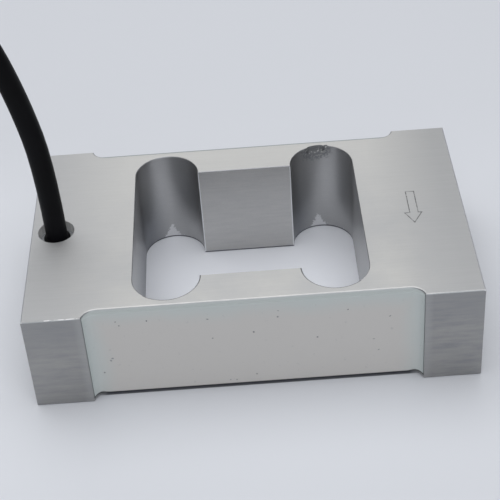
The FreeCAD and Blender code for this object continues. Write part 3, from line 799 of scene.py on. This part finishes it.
@dataclass
class Block:
    """The milled block: its own metal, the etched load arrow and the end holes' threads."""

    half_length_mm: float = 60.0
    thickness_mm: float = 30.0
    hole_half_spacing_mm: Pair = (20.0, 8.0)
    hole_mouth_mm: float = 0.6
    thread_radius_mm: float = 2.6
    thread_pitch_mm: float = 1.0
    thread_turns: float = 13.0
    thread_ridge_mm: float = 0.42
    thread_steps: int = 20
    arrow_line_mm: float = 0.3
    arrow_lift_mm: float = 0.012
    least_mitre: float = 0.4
    arrow_mm: tuple[Pair, ...] = (
        (44.9, 6.7), (44.9, -3.0), (43.5, -3.0), (45.7, -7.4), (48.2, -3.0), (47.2, -3.0), (47.2, 6.7),
    )

    def build(self) -> None:
        """Dresses the block and adds its arrow and threads."""
        dress(Finish.ALUMINIUM, "load_cell_body")
        new_piece("load_arrow", self.arrow(), Finish.ETCHED)
        new_piece("tapped_threads", self.threads(), Finish.ALUMINIUM)

    def arrow(self) -> Mesh:
        """Draws the outline arrow that shows the load's direction.

        Returns:
            A closed band of narrow quads on the block's upper face.
        """
        corners, faces = [], []
        height = self.thickness_mm + self.arrow_lift_mm
        for i, spot in enumerate(map(Vector, self.arrow_mm)):
            j = (i + 1) % len(self.arrow_mm)
            before, after = Vector(self.arrow_mm[i - 1]), Vector(self.arrow_mm[j])
            first, second = (spot - before).normalized(), (after - spot).normalized()
            aside = Vector((first.y, -first.x))
            out = (aside + Vector((second.y, -second.x))).normalized()
            reach = self.arrow_line_mm / 2 / max(out.dot(aside), self.least_mitre)
            corners += [(*(spot + out * reach * way), height) for way in (1, -1)]
            faces.append((2 * i, 2 * j, 2 * j + 1, 2 * i + 1))
        return mesh_of("load_arrow", corners, faces)

    def threads(self) -> Mesh:
        """Winds a right-hand thread ridge down each tapped hole.

        Returns:
            One mesh with the ridges of both ends.
        """
        sizes = {
            "Radius": self.thread_radius_mm * MM,
            "Pitch": self.thread_pitch_mm * MM,
            "Turns": self.thread_turns,
            "Ridge": self.thread_ridge_mm * MM,
        }
        copier = Copier("thread_ridges", sizes)
        add, size = copier.add, copier.size
        helix = {
            "Resolution": self.thread_steps,
            "Rotations": size["Turns"],
            "Start Radius": size["Radius"],
            "End Radius": size["Radius"],
            "Height": add(MATH, (size["Pitch"], size["Turns"]), "MULTIPLY"),
        }
        section = {"Resolution": 3, "Radius": size["Ridge"]}
        sweep = {
            "Curve": add("GeometryNodeCurveSpiral", helix),
            "Profile Curve": add("GeometryNodeCurvePrimitiveCircle", section),
            "Fill Caps": True,
        }
        wound = add("GeometryNodeCurveToMesh", sweep)
        inwards = add("GeometryNodeTransform", {"Geometry": wound, "Rotation": (0.0, -math.pi / 2, 0.0)})
        turn = add("GeometryNodeInputNamedAttribute", {"Name": "turn"}, data_type="FLOAT")
        about = add("ShaderNodeCombineXYZ", {"Z": turn})
        half_y, half_z = self.hole_half_spacing_mm
        mouths, turned = [], []
        for side, y, z in product((1, -1), (-half_y, half_y), (-half_z, half_z)):
            mouths.append((side * (self.half_length_mm - self.hole_mouth_mm), y, self.thickness_mm / 2 + z))
            turned.append(0.0 if side > 0 else math.pi)
        seed = mesh_of("hole_mouths", mouths)
        seed.attributes.new("turn", "FLOAT", "POINT").data.foreach_set("value", turned)
        return copier.set_on(seed, Finish.ALUMINIUM, Instance=inwards, Rotation=about)


@dataclass
class Coats:
    """The two sealing coats, with the grit that set in them."""

    skin_mm: float = 35.4
    grain_mm: float = 0.27
    # The least and the most of each grain's scale and of its turn.
    grain_scale: tuple[Point, Point] = ((0.5, 0.15, 0.5), (1.4, 0.3, 1.1))
    grain_turn: tuple[Point, Point] = ((0.0, -3.0, 0.0), (0.0, 3.0, 0.0))
    seed: int = 7
    # The larger grains' places, along and up.
    front_mm: tuple[Pair, ...] = (
        (-35.2, 24.8), (-36.0, 26.2), (-42.3, 17.2), (-38.2, 13.4), (-38.7, 12.7), (-40.9, 8.5),
        (-27.9, 25.8), (-12.1, 24.9), (-11.2, 18.1), (-7.5, 2.6), (-5.8, 2.5), (-0.3, 4.1),
        (35.6, 21.5), (31.3, 13.8), (32.6, 9.8), (44.4, 15.4), (16.4, 15.9),
        (6.4, 26.1), (6.2, 24.0), (-0.3, 19.3), (24.6, 24.8),
    )
    rear_mm: tuple[Pair, ...] = (
        (-28.0, 12.0), (-9.0, 21.5), (6.5, 8.0), (18.0, 24.0), (31.0, 16.5),
    )

    def build(self) -> None:
        """Dresses both coats and sets their grit."""
        dress(Finish.COAT, "front_sealing_coat", "rear_sealing_coat")
        new_piece("coat_grit", self.grit(), Finish.GRIT)

    def grit(self) -> Mesh:
        """Sets a flat grain at each spot, with a size and turn of its own.

        Returns:
            One mesh of all the grains.
        """
        sizes = {"Size": self.grain_mm * MM, "Seed": self.seed}
        copier = Copier("grit_grains", sizes)
        add, size = copier.add, copier.size
        scale, turn = (
            add(RANDOM, {0: low, 1: high, "Seed": size["Seed"]}, data_type="FLOAT_VECTOR")
            for low, high in (self.grain_scale, self.grain_turn)
        )
        grain = add("GeometryNodeMeshIcoSphere", {"Radius": size["Size"], "Subdivisions": 2})
        spots = [(x, -self.skin_mm, z) for x, z in self.front_mm]
        spots += [(x, self.skin_mm, z) for x, z in self.rear_mm]
        points = mesh_of("grit_spots", spots)
        return copier.set_on(points, Finish.GRIT, Instance=grain, Rotation=turn, Scale=scale)


@dataclass
class GaugeCircuit:
    """The gauges, terminal strips and wiring that lie under the coats."""

    sides: tuple[str, ...] = ("front", "rear")

    def build(self) -> None:
        """Dresses every piece of both circuits."""
        for side in self.sides:
            for hand in ("left", "right"):
                dress(Finish.FILM, f"{side}_{hand}_gauge_backing")
                dress(Finish.CONSTANTAN, f"{side}_{hand}_gauge_grid")
            dress(Finish.LAMINATE, f"{side}_terminal_strip")
            dress(Finish.COPPER, f"{side}_terminal_pads", f"{side}_jumper_wires")
            dress(Finish.TINNED, f"{side}_solder_joints")
            dress(Finish.LEAD, f"{side}_bridge_leads")
        dress(Finish.CERAMIC, "zero_balance_resistor")
        dress(Finish.NICKEL, "span_compensation_foil")


@dataclass
class Pocket:
    """The cable's end in the block: splices, conductors, potting and seal."""

    def build(self) -> None:
        """Dresses every piece in the pocket."""
        dress(Finish.SHRINK, "pocket_splices")
        dress(Finish.POTTING, "pocket_potting")
        dress(Finish.RUBBER, "cable_seal")
        for colour, finish in CORES.items():
            dress(finish, f"{colour}_conductor")


@dataclass
class CoilTie:
    """The nylon tie round the coil: a rounded strap, its head and its cut, toothed tail."""

    coil_x_mm: float
    azimuth: float = 205.0
    middle_r_mm: float = 32.0
    middle_z_mm: float = 7.2
    half_straight_mm: float = 3.0
    corner_mm: float = 3.75
    corner_steps: int = 8
    strap_wide_mm: float = 4.6
    strap_thick_mm: float = 0.9
    strap_chamfer_mm: float = 0.2
    head_mm: Point = (5.4, 6.6, 3.8)
    head_r_mm: float = 31.2
    head_edge_mm: float = 0.6
    head_edge_steps: int = 3
    tail_mm: float = 9.0
    tail_lift_mm: float = 2.1
    tail_rise: float = 0.16
    tooth_mm: Point = (0.4, 3.0, 0.3)
    tooth_pitch_mm: float = 1.0
    tooth_count: int = 5
    last_tooth_mm: float = 0.8
    tooth_lift_mm: float = 0.05

    def spot(self, reach: float, aside: float, height: float) -> Point:
        """Places a point by its distance from the coil's axis, along the turns and up."""
        turn = math.radians(self.azimuth)
        return (
            self.coil_x_mm + reach * math.cos(turn) - aside * math.sin(turn),
            reach * math.sin(turn) + aside * math.cos(turn),
            height,
        )

    def section(self) -> list[Pair]:
        """Gives the strap's section: eight corners as (aside, out), with broken edges."""
        w, t, c = self.strap_wide_mm / 2, self.strap_thick_mm / 2, self.strap_chamfer_mm
        upper = [(w, t - c), (w - c, t), (c - w, t), (-w, t - c)]
        return upper + [(-aside, -out) for aside, out in upper]

    def strap_top(self) -> float:
        """Gives the height of the strap's upper run, in millimetres."""
        return self.middle_z_mm + self.half_straight_mm + self.corner_mm

    def strap(self, shape: bmesh.types.BMesh) -> None:
        """Sweeps the section round the turns in one rounded loop."""
        rings = []
        for quarter in range(4):
            corner_r = self.half_straight_mm * (1 if quarter in (0, 3) else -1)
            corner_z = self.half_straight_mm * (1 if quarter in (0, 1) else -1)
            for step in range(self.corner_steps + 1):
                angle = math.radians(90 * (quarter + step / self.corner_steps))
                ring = []
                for aside, out in self.section():
                    far = self.corner_mm + out
                    reach = self.middle_r_mm + corner_r + far * math.cos(angle)
                    height = self.middle_z_mm + corner_z + far * math.sin(angle)
                    ring.append(shape.verts.new(self.spot(reach, aside, height)))
                rings.append(ring)
        for i, ring in enumerate(rings):
            self.bridge(shape, ring, rings[(i + 1) % len(rings)])

    def tail(self, shape: bmesh.types.BMesh) -> None:
        """Runs the cut end of the strap out of the head, outwards and a little up."""
        rings = []
        for along in (0.0, self.tail_mm):
            reach, height = self.tail_point(along)
            places = [self.spot(reach, aside, height + out) for aside, out in self.section()]
            rings.append([shape.verts.new(place) for place in places])
        self.bridge(shape, *rings)
        for ring in rings:
            shape.faces.new(ring)

    def tail_point(self, along: float) -> Pair:
        """Gives the tail's distance from the coil's axis and its height, some way out."""
        return self.head_r_mm + along, self.strap_top() + self.tail_lift_mm + along * self.tail_rise

    @staticmethod
    def bridge(shape: bmesh.types.BMesh, ring: Sequence[Any], after: Sequence[Any]) -> None:
        """Joins two rings of the strap's section by a band of faces."""
        for j, corner in enumerate(ring):
            k = (j + 1) % len(ring)
            shape.faces.new((corner, ring[k], after[k], after[j]))

    def head(self, shape: bmesh.types.BMesh) -> None:
        """Sets the head on the strap, with softened edges."""
        deep, wide, high = self.head_mm
        made = bmesh.ops.create_cube(shape, size=1.0)["verts"]
        for corner in made:
            x, y, z = corner.co
            corner.co = self.spot(self.head_r_mm + x * deep, y * wide, self.strap_top() + (z + 0.5) * high)
        edges = list(dict.fromkeys(edge for corner in made for edge in corner.link_edges))
        softened = {"offset": self.head_edge_mm, "segments": self.head_edge_steps, "profile": 0.5}
        bmesh.ops.bevel(shape, geom=edges, affect="EDGES", **softened)

    def teeth(self) -> Mesh:
        """Sets the tail's teeth in a row.

        Returns:
            One mesh of all the teeth.
        """
        sizes = dict(zip(("Deep", "Wide", "High"), (side * MM for side in self.tooth_mm)))
        sizes |= {"Turn": math.radians(self.azimuth), "Lean": -math.atan(self.tail_rise)}
        copier = Copier("tie_teeth", sizes)
        add, size = copier.add, copier.size
        block = add("ShaderNodeCombineXYZ", (size["Deep"], size["Wide"], size["High"]))
        tooth = add("GeometryNodeMeshCube", {"Size": block})
        way = add("ShaderNodeCombineXYZ", (0.0, size["Lean"], size["Turn"]))
        spots = []
        for i in range(self.tooth_count):
            reach, height = self.tail_point(self.tail_mm - self.last_tooth_mm - i * self.tooth_pitch_mm)
            spots.append(self.spot(reach, 0.0, height + self.strap_thick_mm / 2 + self.tooth_lift_mm))
        points = mesh_of("tooth_spots", spots)
        return copier.set_on(points, Finish.NYLON, Instance=tooth, Rotation=way)

    def build(self) -> bpy.types.Object:
        """Builds the tie in place of its plain solid.

        Returns:
            The tie.
        """
        mesh = bpy.data.meshes.new("nylon_cable_tie")
        shape = bmesh.new()
        self.strap(shape)
        self.tail(shape)
        self.head(shape)
        for corner in shape.verts:
            corner.co *= MM
        shape.to_mesh(mesh)
        # Joining the teeth in an emptied shape keeps the faces' order the same in every run.
        shape.clear()
        shape.from_mesh(mesh)
        shape.from_mesh(self.teeth())
        bmesh.ops.recalc_face_normals(shape, faces=shape.faces)
        shape.to_mesh(mesh)
        shape.free()
        tie = new_piece("nylon_cable_tie", mesh, Finish.NYLON)
        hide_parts("coil_tie")
        return tie


@dataclass
class Cable:
    """The free cable: up out of the pocket, over in one bow and down to its tied coil."""

    radius_mm: float = 3.0
    pocket_x_mm: float = -53.15
    seal_top_mm: float = 28.5
    length: float = 0.96
    # The free run's control points, from inside the pocket to the coil.
    route_mm: tuple[Point, ...] = (
        (-53.15, 0, 20), (-52.9, 0, 50), (-57, 1, 73.5), (-64, 3.5, 94), (-78.5, 9, 110),
        (-99.5, 15.5, 113.5), (-118.5, 21.5, 104.5), (-129, 25.5, 86), (-131.5, 28, 64.5),
        (-133, 30.5, 42.5), (-143.5, 33.5, 26.5), (-161, 35, 17),
    )
    coil_x_mm: float = -174.0
    outer_turn_mm: float = 35.0
    inner_turn_mm: float = 29.0
    lower_mm: float = 4.2
    upper_mm: float = 10.2
    points_per_turn: int = 16
    spline_order: int = 3
    spline_steps: int = 6
    tube_steps: int = 5
    # Azimuths in degrees: the coil's ends, and where it steps down, inwards and up again.
    first_azimuth: float = 96.0
    last_azimuth: float = 1336.0
    step_down: Pair = (410.0, 460.0)
    step_in: Pair = (740.0, 790.0)
    step_up: Pair = (1090.0, 1135.0)

    def coil(self) -> list[Point]:
        """Winds the coil: an outer turn above, one below it, an inner one, and one on that.

        Returns:
            Control points in millimetres, a little outside the turns that they make.
        """
        step = 360 / self.points_per_turn
        # A spline of order 3 passes this much inside its points on a circle.
        outside = 8 / (6 + 2 * math.cos(math.radians(step)))
        points = []
        for i in range(int((self.last_azimuth - self.first_azimuth) / step) + 1):
            azimuth = self.first_azimuth + i * step
            reach = self.between(azimuth, self.step_in, self.outer_turn_mm, self.inner_turn_mm) * outside
            height = self.between(azimuth, self.step_down, self.upper_mm, self.lower_mm)
            height += self.between(azimuth, self.step_up, 0.0, self.upper_mm - self.lower_mm)
            turn = math.radians(azimuth)
            points.append((self.coil_x_mm + reach * math.cos(turn), reach * math.sin(turn), height))
        return points

    @staticmethod
    def between(azimuth: float, step: Pair, before: float, after: float) -> float:
        """Passes smoothly from one value to another between two azimuths."""
        start, end = step
        share = min(max((azimuth - start) / (end - start), 0.0), 1.0)
        return before + (after - before) * share * share * (3 - 2 * share)

    def build(self) -> None:
        curve = bpy.data.curves.new("signal_cable", "CURVE")
        curve.dimensions = "3D"
        curve.bevel_depth = self.radius_mm * MM
        curve.bevel_resolution = self.tube_steps
        curve.resolution_u = self.spline_steps
        curve.use_fill_caps = True
        spline = curve.splines.new("NURBS")
        points = [*self.route_mm, *self.coil()]
        spline.points.add(len(points) - 1)
        for point, place in zip(spline.points, points):
            point.co = (*(v * MM for v in place), 1.0)
        spline.order_u = self.spline_order
        spline.use_endpoint_u = True
        cable = new_piece("signal_cable", curve, Finish.JACKET)
        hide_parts("cable_jacket", "cable_coil")
        tie = CoilTie(self.coil_x_mm).build()
        ends = {"cable_end_sleeve": Finish.SHRINK, "tinned_lead_tips": Finish.TINNED}
        ends |= {f"{colour}_lead_end": finish for colour, finish in CORES.items()}
        for name, finish in ends.items():
            dress(finish, name)


@dataclass
class Studio:
    """Pale table, soft level light and the camera."""

    table_half_mm: float = 4000.0
    sky_hex: str = "#DFE0E3"
    horizon_strength: float = 0.38
    zenith_strength: float = 0.6
    seen_strength: float = 0.8
    camera_mm: Point = (1.82, -305.91, 264.55)
    camera_right: Point = (0.99742, -0.04161, -0.05854)
    camera_down: Point = (-0.07169, -0.62546, -0.77695)
    camera_ahead: Point = (-0.00429, 0.77914, -0.62683)
    lens_mm: float = 99.93
    sensor_mm: float = 36.0

    def build(self) -> None:
        """Sets the table, the light and the camera."""
        self.floor()
        self.sky()
        self.lamp("overhead_soft_box", (-0.1, 0.3, 1.1), size=1.1, power=7.0)
        self.lamp("front_soft_box", (0.1, -0.6, 0.75), size=0.7, power=2.4)
        self.camera()

    def floor(self) -> None:
        """Lays the table that the cell and its coil rest on."""
        half = self.table_half_mm
        corners = [(-half, -half, 0), (half, -half, 0), (half, half, 0), (-half, half, 0)]
        floor = placed("floor", mesh_of("floor", corners, [(0, 1, 2, 3)]))
        floor.data.materials.append(Finish.TABLE.material())

    def sky(self) -> None:
        """Lights the scene from all round, brighter above than at the horizon."""
        world = bpy.data.worlds.new("soft_room")
        bpy.context.scene.world = world
        world.use_nodes = True
        world.node_tree.nodes.clear()
        add = partial(add_node, world.node_tree)
        way = add("ShaderNodeTexCoord").outputs["Generated"]
        up = add(PARTS, (way,)).outputs[2]
        climb = add(RAMP, (up, 0.0, 0.9, self.horizon_strength, self.zenith_strength))
        seen = add("ShaderNodeLightPath").outputs["Is Camera Ray"]
        strength = add(MIX, {0: seen, 2: climb, 3: self.seen_strength})
        add("ShaderNodeOutputWorld", (add("ShaderNodeBackground", (self.sky_hex, strength)),))

    def lamp(self, name: str, place: Point, size: float, power: float) -> None:
        """Hangs a square soft box that faces the object.

        Args:
            name: The lamp's name.
            place: Where it hangs, in metres.
            size: The length of its side.
            power: Its power in watts.
        """
        data = bpy.data.lights.new(name, "AREA")
        data.shape = "SQUARE"
        data.size = size
        data.energy = power
        lamp = placed(name, data)
        lamp.location = place
        lamp.rotation_euler = (-Vector(place)).to_track_quat("-Z", "Y").to_euler()

    def camera(self) -> None:
        """Sets the camera at the photograph's view."""
        data = bpy.data.cameras.new("photo_camera")
        data.lens = self.lens_mm
        data.sensor_width = self.sensor_mm
        data.clip_start = 0.01
        camera = placed("photo_camera", data)
        axes = (Vector(self.camera_right), -Vector(self.camera_down), -Vector(self.camera_ahead))
        turned = Matrix(axes).transposed().to_4x4()
        turned.translation = Vector(self.camera_mm) * MM
        camera.matrix_world = turned
        bpy.context.scene.camera = camera


def main() -> None:
    """Builds the classes in order."""
    logging.basicConfig(level=logging.INFO, format="%(name)s: %(message)s")
    bpy.context.scene.view_settings.view_transform = "Standard"
    for part in (Studio(), Block(), Coats(), GaugeCircuit(), Pocket(), Cable()):
        part.build()
        LOG.info("finished %s", type(part).__name__)


if __name__ == "__main__":
    main()
